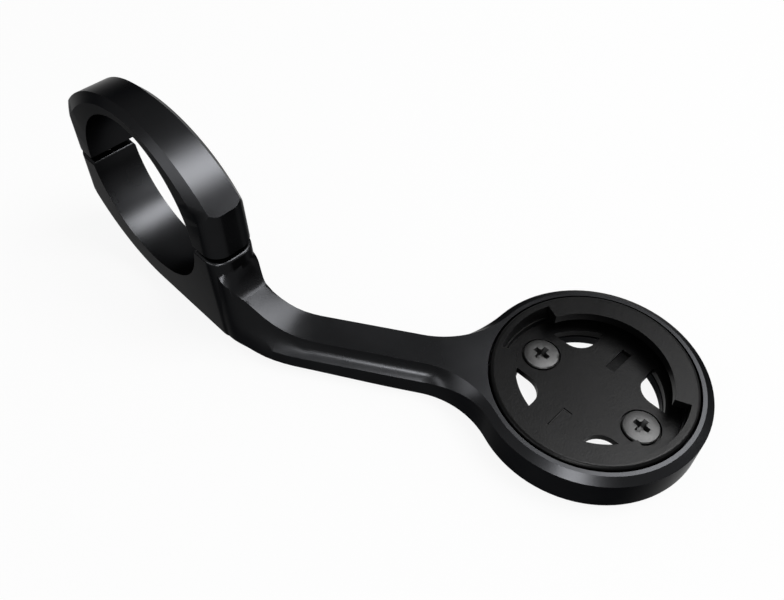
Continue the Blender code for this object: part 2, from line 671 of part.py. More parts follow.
def build_clamp_bolt(name, y):
    """Socket-head bolt from beneath: head in its counterbore, shank up into the strap."""
    seat_z = BOLT_SEAT_Z - FIT_GAP
    bottom_z = seat_z - BOLT_HEAD_HEIGHT
    shape = [
        (BOLT_SHANK_RADIUS, BOLT_TIP_Z), (BOLT_SHANK_RADIUS, seat_z),
        (BOLT_HEAD_RADIUS, seat_z), (BOLT_HEAD_RADIUS, bottom_z + BOTTOM_CHAMFER),
        (BOLT_HEAD_RADIUS - BOTTOM_CHAMFER, bottom_z),
    ]
    bolt = make_object(name, turned(shape, (0, y), SCREW_STEPS), BLACK_STEEL)
    hexagon = cylinder(HEX_RADIUS, (0, y), bottom_z - CUT_MARGIN, bottom_z + HEX_DEPTH, 6)
    combine(bolt, [make_object("hex_socket", hexagon)], "DIFFERENCE")
    shade(bolt)
    return bolt


def build_all():
    clear_scene()
    build_arm_body()
    build_clamp_cap()
    build_clamp_bolt("clamp_bolt_front", -BOLT_Y)
    build_clamp_bolt("clamp_bolt_rear", BOLT_Y)
    build_mount_insert()
    for name, centre in screw_centres():
        build_insert_screw("insert_screw_" + name, centre)


build_all()
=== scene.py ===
"""Looks of an out-front bike computer mount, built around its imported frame.

The arm, the strap and the seat take their surfaces from the solids, and get rounded edges, smooth
shading and the finish of the real ones. The screws and the bolts are modelled anew, because the
solids keep them plain.
"""

import json
from math import atan2, pi, radians

import bmesh
import bpy
from bpy.props import FloatProperty, FloatVectorProperty, IntProperty, PointerProperty
from mathutils import Matrix, Vector

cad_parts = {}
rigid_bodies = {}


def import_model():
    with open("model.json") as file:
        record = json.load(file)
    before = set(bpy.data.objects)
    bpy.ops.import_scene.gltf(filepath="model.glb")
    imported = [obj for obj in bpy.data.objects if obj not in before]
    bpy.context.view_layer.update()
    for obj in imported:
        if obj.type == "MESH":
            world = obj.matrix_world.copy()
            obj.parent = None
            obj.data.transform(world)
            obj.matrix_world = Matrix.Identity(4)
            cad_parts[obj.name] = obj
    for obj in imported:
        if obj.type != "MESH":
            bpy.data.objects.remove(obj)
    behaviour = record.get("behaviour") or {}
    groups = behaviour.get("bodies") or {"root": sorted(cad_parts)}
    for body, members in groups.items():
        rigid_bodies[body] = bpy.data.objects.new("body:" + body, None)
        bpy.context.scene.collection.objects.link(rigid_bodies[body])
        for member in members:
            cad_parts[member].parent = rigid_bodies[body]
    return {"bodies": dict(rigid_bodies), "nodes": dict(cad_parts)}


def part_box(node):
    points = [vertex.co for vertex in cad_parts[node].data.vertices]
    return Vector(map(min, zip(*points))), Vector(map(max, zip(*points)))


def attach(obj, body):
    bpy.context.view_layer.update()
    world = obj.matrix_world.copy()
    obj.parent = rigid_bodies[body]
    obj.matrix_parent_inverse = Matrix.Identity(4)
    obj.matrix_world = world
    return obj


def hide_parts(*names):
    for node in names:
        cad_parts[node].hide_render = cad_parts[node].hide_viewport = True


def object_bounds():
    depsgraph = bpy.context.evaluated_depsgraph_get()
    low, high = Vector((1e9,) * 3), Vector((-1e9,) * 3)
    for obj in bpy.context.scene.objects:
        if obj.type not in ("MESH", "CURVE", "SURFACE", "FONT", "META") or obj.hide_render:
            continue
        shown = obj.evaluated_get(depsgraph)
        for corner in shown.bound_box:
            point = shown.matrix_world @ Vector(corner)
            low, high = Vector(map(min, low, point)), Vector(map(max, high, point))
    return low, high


bl_info = {
    "name": "Bike computer mount looks",
    "version": (1, 0, 0),
    "blender": (4, 5, 0),
    "location": "3D View > Sidebar > Mount",
    "description": "Dresses an out-front handlebar mount with its real finishes and fasteners",
    "category": "Object",
}

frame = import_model()
CAD_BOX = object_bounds()
NODES = frame["nodes"]
BODY = next(iter(frame["bodies"]))

# Cleaning of a solid's loose triangles
MERGE_DISTANCE = 0.000002
FLAT_ANGLE = radians(0.4)

# Edges sharper than the first angle are rounded, and those sharper than the second stay crisp
ROUNDED_ANGLE = radians(28)
CRISP_ANGLE = radians(60)

# The lower clamp half: the gap to the strap, and what counts as its outline beside the gap
PARTING_GAP = 0.00125
LEVEL_MARGIN = 0.00003
OUTLINE_ANGLE = radians(60)
BOLT_HOLE_MARGIN = 0.0025
PARTING_STEPS = 4

# Box round the blend of the arm into the clamp's nose, whose soft edges aren't rounded again
NOSE_BLEND = ((-0.0035, -0.0262, -0.0120), (0.0052, -0.0220, -0.0022))

# All fasteners
SHANK_RADIUS = 0.0015
FASTENER_ROUNDED_ANGLE = radians(32)
FASTENER_CRISP_ANGLE = radians(35)
FASTENER_STEPS = 2
AXIS_MARGIN = 0.00001
FACING = 0.9

# Shares of the thread's pitch, and of the shank's width at each step of its point
THREAD_FLANK = 0.4
THREAD_FLAT = 0.1
POINT_TAPER = (0.85, 0.7)

# Seat screws: each step of the dome is a share of the head's radius and a rise
SCREW_SIDES = 64
SCREW_HEAD_HEIGHT = 0.0009
SCREW_RIM_HEIGHT = 0.0005
SCREW_DOME = ((0.05, 0.00018), (0.15, 0.00011), (0.2, 0.00007), (0.2, 0.00004))
SCREW_ROUND = 0.00006
SCREW_ROUGHNESS = 0.46

# Cross recess: shares of its reach and width left at its floor, and its core's two radii
CUT_CLEARANCE = 0.0003
REACH_AT_FLOOR = 0.42
WIDTH_AT_FLOOR = 0.74
CORE_AT_FLOOR = 0.7
CORE_AT_FACE = 1.85
CORE_SIDES = 24
# Painted shade of the cross recess: the screws' steel turns dark this far below their face, over
# this blend
PAINTED_RECESS_SHADE_DEPTH = 0.00045
PAINTED_RECESS_SHADE_BLEND = 0.0002

# Clamp bolts
BOLT_SIDES = 48
BOLT_HEAD_HEIGHT = 0.0030
BOLT_CHAMFER = 0.0003
KNURL_LAND = 0.00004
SOCKET_RADIUS = 0.00144
SOCKET_DEPTH = 0.0015
BOLT_ROUND = 0.00005
BOLT_ROUGHNESS = 0.36

# Stage
FLOOR_SIZE = 8.0
FLOOR_DROP = 0.00002
FLOOR_GLOW_SHARE = 0.9
SOFT_LIGHT_STRENGTH = 0.45

# The photograph's camera, worked out from its perspective
CAMERA_PLACE = (-0.0473794, -0.1051331, 0.0967183)
CAMERA_RIGHT = (0.70777526, -0.70635042, 0.01110271)
CAMERA_UP = (0.53487208, 0.54608547, 0.64474997)
CAMERA_BACK = (-0.46148244, -0.45039954, 0.7643129)
CAMERA_LENS = 36.412
SENSOR_WIDTH = 36.0
CLIP_RANGE = (0.001, 50.0)


class MountSizes(bpy.types.PropertyGroup):
    """Sizes of the details that the solids leave out."""

    edge_round: FloatProperty(
        name="Edge rounding", description="Radius broken onto the machined alloy edges",
        default=0.00026, min=0.0, unit="LENGTH")
    moulded_round: FloatProperty(
        name="Moulded rounding", description="Radius on the edges of the plastic seat",
        default=0.00014, min=0.0, unit="LENGTH")
    parting_round: FloatProperty(
        name="Parting edge rounding", description="Radius on the lower half's edges at the gap",
        default=0.0005, min=0.0, unit="LENGTH")
    round_steps: IntProperty(
        name="Rounding steps", description="Facets across each rounded edge", default=3, min=1)
    recess_depth: FloatProperty(
        name="Cross recess depth", description="Depth of the cross recess in the seat screws",
        default=0.0014, min=0.0002, unit="LENGTH")
    recess_reach: FloatProperty(
        name="Cross recess reach", description="Half the length of the cross at the face",
        default=0.00165, min=0.0005, unit="LENGTH")
    recess_width: FloatProperty(
        name="Cross recess width", description="Half the width of the cross's arms at the face",
        default=0.00050, min=0.0002, unit="LENGTH")
    thread_pitch: FloatProperty(
        name="Thread pitch", description="Distance between two turns of the thread",
        default=0.0005, min=0.0002, unit="LENGTH")
    thread_depth: FloatProperty(
        name="Thread depth", description="Depth of the thread below its crest",
        default=0.00025, min=0.0, unit="LENGTH")
    knurl_depth: FloatProperty(
        name="Knurl depth", description="Depth of the grooves round the clamp bolts' heads",
        default=0.0001, min=0.0, unit="LENGTH")


class MountColours(bpy.types.PropertyGroup):
    """Colours of the finishes."""

    alloy: FloatVectorProperty(
        name="Anodised alloy", description="Black of the anodised arm and strap",
        subtype="COLOR", size=4, default=(0.0098, 0.0100, 0.0106, 1.0))
    plastic: FloatVectorProperty(
        name="Seat plastic", description="Dark grey of the moulded seat",
        subtype="COLOR", size=4, default=(0.0032, 0.0032, 0.0033, 1.0))
    screw_steel: FloatVectorProperty(
        name="Screw steel", description="Grey of the seat screws",
        subtype="COLOR", size=4, default=(0.0195, 0.0195, 0.0195, 1.0))
    bolt_steel: FloatVectorProperty(
        name="Bolt steel", description="Black oxide of the clamp bolts",
        subtype="COLOR", size=4, default=(0.012, 0.012, 0.012, 1.0))
    # Painted shade: the dark given to the screws below their face stands for the shade in their
    # cross recess
    painted_recess_shade: FloatVectorProperty(
        name="Recess shade", description="Dark of the screws below their face",
        subtype="COLOR", size=4, default=(0.012, 0.012, 0.012, 1.0))
    floor: FloatVectorProperty(
        name="Floor", description="White of the studio floor",
        subtype="COLOR", size=4, default=(0.9, 0.9, 0.9, 1.0))


# Materials

def grey(value):
    """Colour with three equal channels."""
    return (value, value, value, 1.0)


def shade(colour, share):
    """Lighter or darker tone of a colour."""
    return tuple(channel * share for channel in colour[:3]) + (1.0,)


def new_material(name):
    """Material with its shader, its nodes and its links."""
    material = bpy.data.materials.new(name)
    material.use_nodes = True
    nodes = material.node_tree.nodes
    return material, nodes["Principled BSDF"], nodes, material.node_tree.links


def add_node(nodes, kind, place, **settings):
    """Shader node whose sockets and settings are given by name."""
    node = nodes.new(kind)
    node.location = place
    for key, value in settings.items():
        if key in node.inputs:
            node.inputs[key].default_value = value
        else:
            setattr(node, key, value)
    return node


def ramp(nodes, place, first, last):
    """Colour ramp between two stops, each a position and a colour."""
    node = nodes.new("ShaderNodeValToRGB")
    node.location = place
    start, end = node.color_ramp.elements
    start.position, start.color = first
    end.position, end.color = last
    return node


def add_bump(nodes, links, shader, height, strength, distance):
    """Fine relief on a shader, from the output that gives its height."""
    bump = add_node(nodes, "ShaderNodeBump", (-300, -200), Strength=strength, Distance=distance)
    links.new(height, bump.inputs["Height"])
    links.new(bump.outputs["Normal"], shader.inputs["Normal"])


def anodised_alloy(colour):
    """Satin black anodising: a fine blasted grain and faint cloudiness in its gloss."""
    material, shader, nodes, links = new_material("anodised_alloy")
    shader.inputs["Metallic"].default_value = 1.0
    shader.inputs["Specular Tint"].default_value = grey(0.45)
    coords = add_node(nodes, "ShaderNodeTexCoord", (-1000, 0))
    clouds = add_node(nodes, "ShaderNodeTexNoise", (-780, 200), Scale=90.0, Detail=3.0)
    grain = add_node(nodes, "ShaderNodeTexNoise", (-780, -200), Scale=5200.0, Detail=2.0)
    links.new(coords.outputs["Object"], clouds.inputs["Vector"])
    links.new(coords.outputs["Object"], grain.inputs["Vector"])
    gloss = ramp(nodes, (-540, 200), (0.3, grey(0.27)), (0.7, grey(0.32)))
    links.new(clouds.outputs["Fac"], gloss.inputs["Fac"])
    links.new(gloss.outputs["Color"], shader.inputs["Roughness"])
    tone = ramp(nodes, (-540, 460), (0.35, shade(colour, 0.85)), (0.65, tuple(colour)))
    links.new(clouds.outputs["Fac"], tone.inputs["Fac"])
    links.new(tone.outputs["Color"], shader.inputs["Base Color"])
    add_bump(nodes, links, shader, grain.outputs["Fac"], 0.08, 0.00003)
    return material


def moulded_plastic(colour):
    """Matte glass-filled plastic with the fine grain of a spark-eroded mould."""
    material, shader, nodes, links = new_material("moulded_plastic")
    shader.inputs["Specular IOR Level"].default_value = 0.032
    coords = add_node(nodes, "ShaderNodeTexCoord", (-1000, 0))
    grain = add_node(nodes, "ShaderNodeTexNoise", (-780, 0),
                     Scale=2600.0, Detail=3.0, Roughness=0.6)
    flow = add_node(nodes, "ShaderNodeTexNoise", (-780, 300), Scale=160.0, Detail=2.0)
    links.new(coords.outputs["Object"], grain.inputs["Vector"])
    links.new(coords.outputs["Object"], flow.inputs["Vector"])
    tone = ramp(nodes, (-540, 300), (0.3, shade(colour, 0.72)), (0.7, shade(colour, 1.25)))
    links.new(grain.outputs["Fac"], tone.inputs["Fac"])
    links.new(tone.outputs["Color"], shader.inputs["Base Color"])
    gloss = ramp(nodes, (-540, 0), (0.3, grey(0.30)), (0.7, grey(0.36)))
    links.new(flow.outputs["Fac"], gloss.inputs["Fac"])
    links.new(gloss.outputs["Color"], shader.inputs["Roughness"])
    add_bump(nodes, links, shader, grain.outputs["Fac"], 0.5, 0.00006)
    return material


def fastener_steel(name, colour, roughness, centre):
    """Plated steel turned on a lathe, with the mottling of its coating."""
    material, shader, nodes, links = new_material(name)
    shader.inputs["Metallic"].default_value = 1.0
    shader.inputs["Specular Tint"].default_value = grey(0.7)
    coords = add_node(nodes, "ShaderNodeTexCoord", (-1200, 0))
    place = add_node(nodes, "ShaderNodeMapping", (-1000, 0), Location=(-centre[0], -centre[1], 0))
    links.new(coords.outputs["Object"], place.inputs["Vector"])
    mottle = add_node(nodes, "ShaderNodeTexNoise", (-780, 200), Scale=2200.0, Detail=3.0)
    turning = add_node(nodes, "ShaderNodeTexWave", (-780, -200), wave_type="RINGS",
                       rings_direction="Z", Scale=2600.0, Distortion=1.5, Detail=1.0)
    links.new(place.outputs["Vector"], mottle.inputs["Vector"])
    links.new(place.outputs["Vector"], turning.inputs["Vector"])
    tone = ramp(nodes, (-540, 200), (0.3, shade(colour, 0.72)), (0.7, tuple(colour)))
    links.new(mottle.outputs["Fac"], tone.inputs["Fac"])
    links.new(tone.outputs["Color"], shader.inputs["Base Color"])
    gloss = ramp(nodes, (-540, 0), (0.3, grey(roughness - 0.06)), (0.7, grey(roughness + 0.06)))
    links.new(mottle.outputs["Fac"], gloss.inputs["Fac"])
    links.new(gloss.outputs["Color"], shader.inputs["Roughness"])
    add_bump(nodes, links, shader, turning.outputs["Fac"], 0.25, 0.00002)
    return material


def paint_recess_shade(material, colour, top):
    """Paint the shade of a fastener's recess onto its steel, as a dark below a height."""
    nodes, links = material.node_tree.nodes, material.node_tree.links
    base_colour = nodes["Principled BSDF"].inputs["Base Color"]
    steel = base_colour.links[0].from_socket
    coords = add_node(nodes, "ShaderNodeTexCoord", (-1000, 460))
    split = add_node(nodes, "ShaderNodeSeparateXYZ", (-780, 460))
    links.new(coords.outputs["Object"], split.inputs["Vector"])
    height = add_node(nodes, "ShaderNodeMapRange", (-540, 460))
    height.inputs["From Min"].default_value = top - PAINTED_RECESS_SHADE_BLEND
    height.inputs["From Max"].default_value = top
    links.new(split.outputs["Z"], height.inputs["Value"])
    # Inputs 6 and 7 of a Mix node are its two colours, and output 2 is their blend
    # Below the height the steel gives way to the painted shade of the recess
    blend = add_node(nodes, "ShaderNodeMix", (-300, 300), data_type="RGBA")
    links.new(height.outputs["Result"], blend.inputs[0])
    blend.inputs[6].default_value = colour
    links.new(steel, blend.inputs[7])
    links.new(blend.outputs[2], base_colour)


# Modelling tools

def select_only(obj):
    """Make one object the active and only selected one."""
    bpy.ops.object.select_all(action="DESELECT")
    obj.select_set(True)
    bpy.context.view_layer.objects.active = obj


def box_centre(node):
    """Low and high corners of a solid, and the place of its upright axis."""
    low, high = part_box(node)
    return low, high, ((low.x + high.x) / 2, (low.y + high.y) / 2)


def copy_of_node(name, node):
    """A merged copy of a solid, whose loose triangles become one clean surface."""
    piece = bpy.data.objects.new(name, NODES[node].data.copy())
    bpy.context.scene.collection.objects.link(piece)
    select_only(piece)
    if piece.data.has_custom_normals:
        bpy.ops.mesh.customdata_custom_splitnormals_clear()
    bpy.ops.object.mode_set(mode="EDIT")
    bpy.ops.mesh.select_all(action="SELECT")
    bpy.ops.mesh.remove_doubles(threshold=MERGE_DISTANCE)
    bpy.ops.mesh.dissolve_limited(angle_limit=FLAT_ANGLE)
    bpy.ops.object.mode_set(mode="OBJECT")
    return piece


def copy_to_place(piece, name, node, new_node):
    """Copy of a fastener with its own mesh, moved to the place of a second, like one."""
    low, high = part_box(node)
    new_low, new_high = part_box(new_node)
    if ((high - low) - (new_high - new_low)).length > AXIS_MARGIN:
        raise RuntimeError(node + " and " + new_node + " differ in size")
    twin = bpy.data.objects.new(name, piece.data.copy())
    bpy.context.scene.collection.objects.link(twin)
    twin.location = new_low - low
    select_only(twin)
    bpy.ops.object.transform_apply(location=True, rotation=True, scale=True)
    return twin


def inside(point, box):
    """Whether a point lies in a box given by its two corners."""
    return all(low < place < high for low, place, high in zip(box[0], point, box[1]))


def round_edges(piece, width, steps, spared=None):
    """Round the sharp edges of a piece outside a spared box, and shade it smooth."""
    select_only(piece)
    bpy.ops.object.shade_smooth_by_angle(angle=ROUNDED_ANGLE)
    mesh = bmesh.new()
    mesh.from_mesh(piece.data)
    weight = mesh.edges.layers.float.new("bevel_weight_edge")
    for edge in mesh.edges:
        middle = (edge.verts[0].co + edge.verts[1].co) / 2
        blended = spared and inside(middle, spared)
        if not blended and edge.calc_face_angle(0.0) > ROUNDED_ANGLE:
            edge[weight] = 1.0
    mesh.to_mesh(piece.data)
    mesh.free()
    bevel = piece.modifiers.new("edges", "BEVEL")
    bevel.width = width
    bevel.segments = steps
    bevel.limit_method = "WEIGHT"
    bevel.miter_outer = "MITER_ARC"
    bevel.use_clamp_overlap = True
    bpy.ops.object.modifier_apply(modifier=bevel.name)
    bpy.ops.object.shade_smooth_by_angle(angle=CRISP_ANGLE)
    weighted = piece.modifiers.new("weighted", "WEIGHTED_NORMAL")
    weighted.mode = "FACE_AREA"
    weighted.keep_sharp = True
    bpy.ops.object.modifier_apply(modifier=weighted.name)


def round_parting_edges(piece, sizes):
    """Wider rounding on the outline of the lower half where it meets the strap."""
    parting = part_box("clamp_cap")[0].z - PARTING_GAP
    bolts = [Vector(box_centre("clamp_bolt_" + end)[2]) for end in ("front", "rear")]
    select_only(piece)
    bpy.ops.object.mode_set(mode="EDIT")
    bpy.ops.mesh.select_mode(type="EDGE")
    bpy.ops.mesh.select_all(action="DESELECT")
    mesh = bmesh.from_edit_mesh(piece.data)
    for edge in mesh.edges:
        middle = (edge.verts[0].co + edge.verts[1].co) / 2
        level = all(abs(vert.co.z - parting) < LEVEL_MARGIN for vert in edge.verts)
        outline = len(edge.link_faces) == 2 and edge.calc_face_angle(0.0) > OUTLINE_ANGLE
        clear = all((middle.xy - bolt).length > BOLT_HOLE_MARGIN for bolt in bolts)
        if level and outline and clear:
            edge.select_set(True)
    if not any(edge.select for edge in mesh.edges):
        raise RuntimeError("the lower half has no edges at the gap")
    bmesh.update_edit_mesh(piece.data)
    bpy.ops.mesh.bevel(offset=sizes.parting_round, segments=PARTING_STEPS)
    bpy.ops.object.mode_set(mode="OBJECT")


def pick_faces(piece, wanted):
    """In edit mode, select just the faces that pass a test."""
    bpy.ops.mesh.select_all(action="DESELECT")
    mesh = bmesh.from_edit_mesh(piece.data)
    for face in mesh.faces:
        if wanted(face):
            face.select_set(True)
    bmesh.update_edit_mesh(piece.data)


def pick_end(piece, centre, way):
    """Select the flat end of a turned piece that faces up or down."""
    axis = Vector(centre)
    pick_faces(piece, lambda face: face.normal.z * way > FACING
               and (face.calc_center_median().xy - axis).length < AXIS_MARGIN)


def add_turned_head(name, centre, radius, bottom, top, sides):
    """Cylinder with its place in its mesh, left in edit mode with nothing picked."""
    bpy.ops.object.select_all(action="DESELECT")
    bpy.ops.mesh.primitive_cylinder_add(
        vertices=sides, radius=radius, depth=top - bottom, end_fill_type="NGON",
        location=(*centre, (bottom + top) / 2))
    piece = bpy.context.object
    piece.name = name
    bpy.ops.object.transform_apply(location=True, rotation=True, scale=True)
    bpy.ops.object.mode_set(mode="EDIT")
    bpy.ops.mesh.select_mode(type="FACE")
    bpy.ops.mesh.select_all(action="DESELECT")
    return piece


def step_out(centre, start, rise, scale):
    """Extrude the picked end by one step, then widen or narrow it about the axis."""
    end = start + rise
    bpy.ops.mesh.extrude_region_move(TRANSFORM_OT_translate={"value": (0.0, 0.0, rise)})
    bpy.ops.transform.resize(value=(scale, scale, 1.0), center_override=(*centre, end))
    return end


def extrude_thread(centre, start, end, sizes):
    """Threaded shank from the picked end face, with a pointed tip."""
    way = 1.0 if end > start else -1.0
    root = (SHANK_RADIUS - sizes.thread_depth) / SHANK_RADIUS
    flank, flat = sizes.thread_pitch * THREAD_FLANK, sizes.thread_pitch * THREAD_FLAT
    turns = int((abs(end - start) - 2 * flat) / sizes.thread_pitch) - 1
    at = step_out(centre, start, way * flat, 1.0)
    for _ in range(turns):
        at = step_out(centre, at, way * flank, root)
        at = step_out(centre, at, way * flat, 1.0)
        at = step_out(centre, at, way * flank, 1.0 / root)
        at = step_out(centre, at, way * flat, 1.0)
    at = step_out(centre, at, (end - at) / 2, POINT_TAPER[0])
    step_out(centre, at, end - at, POINT_TAPER[1])


def add_cutter(centre, top, depth, half_top, half_bottom):
    """Four-sided cutter that narrows downwards."""
    middle = (*centre, top - depth / 2)
    bpy.ops.object.select_all(action="DESELECT")
    bpy.ops.mesh.primitive_cube_add(size=1.0, location=middle)
    cutter = bpy.context.object
    bpy.ops.object.transform_apply(location=True, rotation=True, scale=True)
    bpy.ops.object.mode_set(mode="EDIT")
    bpy.ops.mesh.select_mode(type="FACE")
    bpy.ops.mesh.select_all(action="SELECT")
    bpy.ops.transform.resize(value=(2 * half_top[0], 2 * half_top[1], depth),
                             center_override=middle)
    pick_faces(cutter, lambda face: face.normal.z < -FACING)
    bpy.ops.transform.resize(
        value=(half_bottom[0] / half_top[0], half_bottom[1] / half_top[1], 1.0),
        center_override=middle)
    bpy.ops.object.mode_set(mode="OBJECT")
    return cutter


def cut_out(piece, cutter):
    """Subtract the cutter from the piece, and delete it."""
    select_only(piece)
    boolean = piece.modifiers.new("cut", "BOOLEAN")
    boolean.operation = "DIFFERENCE"
    boolean.solver = "EXACT"
    boolean.object = cutter
    bpy.ops.object.modifier_apply(modifier=boolean.name)
    bpy.data.objects.remove(cutter)


def round_fastener(piece, width):
    """Break the edges of a new fastener and shade it smooth."""
    select_only(piece)
    bevel = piece.modifiers.new("edges", "BEVEL")
    bevel.width = width
    bevel.segments = FASTENER_STEPS
    bevel.limit_method = "ANGLE"
    bevel.angle_limit = FASTENER_ROUNDED_ANGLE
    bevel.use_clamp_overlap = True
    bpy.ops.object.modifier_apply(modifier=bevel.name)
    bpy.ops.object.shade_smooth_by_angle(angle=FASTENER_CRISP_ANGLE)


def finish_piece(piece, material, slot_name, *nodes):
    """Give a piece its finish, hide the solids it stands for, and attach it to the frame's body.
    """
    piece.data.materials.clear()
    piece.data.materials.append(material)
    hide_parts(*nodes)
    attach(piece, BODY)


# Fasteners

def cut_cross(piece, centre, face, sizes):
    """Cross recess with tapered arms and a round core, cut down from the screw's face."""
    top, depth = face + CUT_CLEARANCE, sizes.recess_depth + CUT_CLEARANCE
    at_face = (sizes.recess_reach, sizes.recess_width)
    at_floor = (sizes.recess_reach * REACH_AT_FLOOR, sizes.recess_width * WIDTH_AT_FLOOR)
    cut_out(piece, add_cutter(centre, top, depth, at_face, at_floor))
    cut_out(piece, add_cutter(centre, top, depth, at_face[::-1], at_floor[::-1]))
    bpy.ops.object.select_all(action="DESELECT")
    bpy.ops.mesh.primitive_cone_add(
        vertices=CORE_SIDES, radius1=sizes.recess_width * CORE_AT_FLOOR,
        radius2=sizes.recess_width * CORE_AT_FACE, depth=depth,
        location=(*centre, top - depth / 2))
    core = bpy.context.object
    bpy.ops.object.transform_apply(location=True, rotation=True, scale=True)
    cut_out(piece, core)


def model_screw(name, node, sizes):
    """Seat screw with a low dome, a threaded shank and a cross recess."""
    low, high, centre = box_centre(node)
    radius = (high.x - low.x) / 2
    under_head = high.z - SCREW_HEAD_HEIGHT
    piece = add_turned_head(name, centre, radius, under_head,
                            under_head + SCREW_RIM_HEIGHT, SCREW_SIDES)
    pick_end(piece, centre, 1.0)
    for share, rise in SCREW_DOME:
        bpy.ops.mesh.inset(thickness=radius * share, depth=rise)
    pick_end(piece, centre, -1.0)
    bpy.ops.mesh.inset(thickness=radius - SHANK_RADIUS, depth=0.0)
    extrude_thread(centre, under_head, low.z, sizes)
    bpy.ops.object.mode_set(mode="OBJECT")
    cut_cross(piece, centre, high.z, sizes)
    round_fastener(piece, SCREW_ROUND)
    return piece


def model_bolt(name, node, sizes):
    """Clamp bolt with a knurled and chamfered head, a threaded shank and a hex socket."""
    low, high, centre = box_centre(node)
    radius = (high.x - low.x) / 2
    head_top = low.z + BOLT_HEAD_HEIGHT
    piece = add_turned_head(name, centre, radius, low.z + BOLT_CHAMFER,
                            head_top - BOLT_CHAMFER, BOLT_SIDES)

    def every_other_side(face):
        place = face.calc_center_median()
        turn = atan2(place.y - centre[1], place.x - centre[0]) / (2 * pi)
        side = int((turn + 1.0) * BOLT_SIDES)
        return abs(face.normal.z) < 1.0 - FACING and side % 2 == 0

    pick_faces(piece, every_other_side)
    bpy.ops.mesh.inset(use_individual=True, thickness=KNURL_LAND, depth=-sizes.knurl_depth)
    for way in (-1.0, 1.0):
        pick_end(piece, centre, way)
        bpy.ops.mesh.inset(thickness=BOLT_CHAMFER, depth=BOLT_CHAMFER)
    bpy.ops.mesh.inset(thickness=radius - BOLT_CHAMFER - SHANK_RADIUS, depth=0.0)
    extrude_thread(centre, head_top, high.z, sizes)
    bpy.ops.object.mode_set(mode="OBJECT")
    bpy.ops.object.select_all(action="DESELECT")
    bpy.ops.mesh.primitive_cylinder_add(
        vertices=6, radius=SOCKET_RADIUS, depth=2 * SOCKET_DEPTH, location=(*centre, low.z))
    socket = bpy.context.object
    bpy.ops.object.transform_apply(location=True, rotation=True, scale=True)
    cut_out(piece, socket)
    round_fastener(piece, BOLT_ROUND)
    return piece


# Operators, one for each piece or group of like pieces

class MOUNT_OT_dress_arm(bpy.types.Operator):
    """Arm, lower clamp half and holder ring with broken edges and black anodising."""

    bl_idname = "mount.dress_arm"
    bl_label = "Dress the arm"

    def execute(self, context):
        sizes, colours = context.scene.mount_sizes, context.scene.mount_colours
        piece = copy_of_node("machined_arm", "arm_body")
        round_parting_edges(piece, sizes)
        round_edges(piece, sizes.edge_round, sizes.round_steps, NOSE_BLEND)
        finish_piece(piece, anodised_alloy(colours.alloy), "black_alloy", "arm_body")
        return {"FINISHED"}


class MOUNT_OT_dress_strap(bpy.types.Operator):
    """Strap over the bar with broken edges, in the same black anodising as the arm."""

    bl_idname = "mount.dress_strap"
    bl_label = "Dress the strap"

    def execute(self, context):
        sizes = context.scene.mount_sizes
        piece = copy_of_node("clamp_strap", "clamp_cap")
        round_edges(piece, sizes.edge_round, sizes.round_steps)
        finish_piece(piece, bpy.data.materials["anodised_alloy"], "black_alloy", "clamp_cap")
        return {"FINISHED"}


class MOUNT_OT_dress_seat(bpy.types.Operator):
    """Quarter-turn seat with softened edges in grained plastic."""

    bl_idname = "mount.dress_seat"
    bl_label = "Dress the seat"

    def execute(self, context):
        sizes, colours = context.scene.mount_sizes, context.scene.mount_colours
        piece = copy_of_node("quarter_turn_seat", "mount_insert")
        round_edges(piece, sizes.moulded_round, sizes.round_steps)
        finish_piece(piece, moulded_plastic(colours.plastic), "black_plastic", "mount_insert")
        return {"FINISHED"}


class MOUNT_OT_model_screws(bpy.types.Operator):
    """Low-domed cross-head screws that hold the seat."""

    bl_idname = "mount.model_screws"
    bl_label = "Model the seat screws"

    def execute(self, context):
        sizes, colours = context.scene.mount_sizes, context.scene.mount_colours
        front = model_screw("seat_screw_front", "insert_screw_front", sizes)
        rear = copy_to_place(front, "seat_screw_rear", "insert_screw_front", "insert_screw_rear")
        for end, piece in (("front", front), ("rear", rear)):
            node = "insert_screw_" + end
            high, centre = box_centre(node)[1:]
            steel = fastener_steel("screw_steel_" + end, colours.screw_steel,
                                   SCREW_ROUGHNESS, centre)
            # Painted shade in the cross recess, dark below the screw's face
            paint_recess_shade(steel, colours.painted_recess_shade, high.z - PAINTED_RECESS_SHADE_DEPTH)
            finish_piece(piece, steel, "grey_steel", node)
        return {"FINISHED"}


class MOUNT_OT_model_bolts(bpy.types.Operator):
    """Socket-head clamp bolts, put in from beneath."""

    bl_idname = "mount.model_bolts"
    bl_label = "Model the clamp bolts"

    def execute(self, context):
        sizes, colours = context.scene.mount_sizes, context.scene.mount_colours
        front = model_bolt("socket_bolt_front", "clamp_bolt_front", sizes)
        rear = copy_to_place(front, "socket_bolt_rear", "clamp_bolt_front", "clamp_bolt_rear")
        for end, piece in (("front", front), ("rear", rear)):
            node = "clamp_bolt_" + end
            steel = fastener_steel("bolt_steel_" + end, colours.bolt_steel,
                                   BOLT_ROUGHNESS, box_centre(node)[2])
            finish_piece(piece, steel, "black_steel", node)
        return {"FINISHED"}


class MOUNT_OT_add_stage(bpy.types.Operator):
    """White floor, soft studio light and the photograph's camera."""

    bl_idname = "mount.add_stage"
    bl_label = "Add the stage"

    def execute(self, context):
        colours = context.scene.mount_colours
        bpy.ops.object.select_all(action="DESELECT")
        bpy.ops.mesh.primitive_plane_add(
            size=FLOOR_SIZE, location=(0, 0, CAD_BOX[0].z - FLOOR_DROP))
        floor = context.object
        floor.name = "studio_floor"
        floor.data.materials.append(floor_material(colours.floor))
        add_world()
        add_lamps()
        add_camera()
        context.scene.view_settings.view_transform = "Standard"
        return {"FINISHED"}


# Stage

